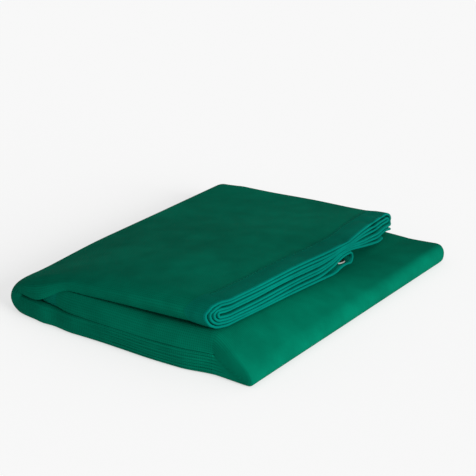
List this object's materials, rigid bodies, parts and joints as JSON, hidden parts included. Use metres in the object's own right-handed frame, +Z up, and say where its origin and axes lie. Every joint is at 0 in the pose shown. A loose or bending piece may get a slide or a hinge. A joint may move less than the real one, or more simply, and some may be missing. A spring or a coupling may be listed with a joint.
{
  "type": "folded fly sheet",
  "caption": "Hemmed mesh fly sheet with metal eyelets, folded into a square pack whose top flap turns open on its back fold.",
  "frame": {"origin": "middle of the pack's footprint, on the surface it lies on", "axes": "+X along the strip towards the smooth front fold, +Y across the strip towards the thin side, +Z up"},
  "size_m": [0.255, 0.31, 0.0609],
  "materials": {
    "green_net": "knitted polyethylene net, dark green, matt with a faint sheen",
    "green_hem": "the same net folded to three plies and sewn",
    "thread": "dark green polyester sewing thread",
    "eyelet_metal": "nickelled brass, pressed and polished"
  },
  "bodies": {
    "lower_stack": {"bottom_pass": "green_net", "middle_pass": "green_net", "front_fold": "green_net", "back_fold": "green_net", "inner_hem": "green_hem", "inner_hem_seam": "thread", "inner_mid_eyelet_barrel": "eyelet_metal", "inner_mid_eyelet_washer": "eyelet_metal", "inner_upper_corner_eyelet_barrel": "eyelet_metal", "inner_upper_corner_eyelet_washer": "eyelet_metal", "inner_lower_corner_eyelet_barrel": "eyelet_metal", "inner_lower_corner_eyelet_washer": "eyelet_metal"},
    "flap": {"top_flap": "green_net", "flap_hem": "green_hem", "flap_hem_seam": "thread", "flap_mid_eyelet_barrel": "eyelet_metal", "flap_mid_eyelet_washer": "eyelet_metal", "flap_upper_corner_eyelet_barrel": "eyelet_metal", "flap_upper_corner_eyelet_washer": "eyelet_metal", "flap_lower_corner_eyelet_barrel": "eyelet_metal", "flap_lower_corner_eyelet_washer": "eyelet_metal"}
  },
  "joints": [
    {"name": "flap_turn", "type": "hinge", "parent": "lower_stack", "child": "flap", "pos_m": [-0.1305, 0, 0.0264], "axis": [0, -0.9991, 0.0413], "range_deg": [0, 180], "deforming": ["back_fold"]}
  ]
}
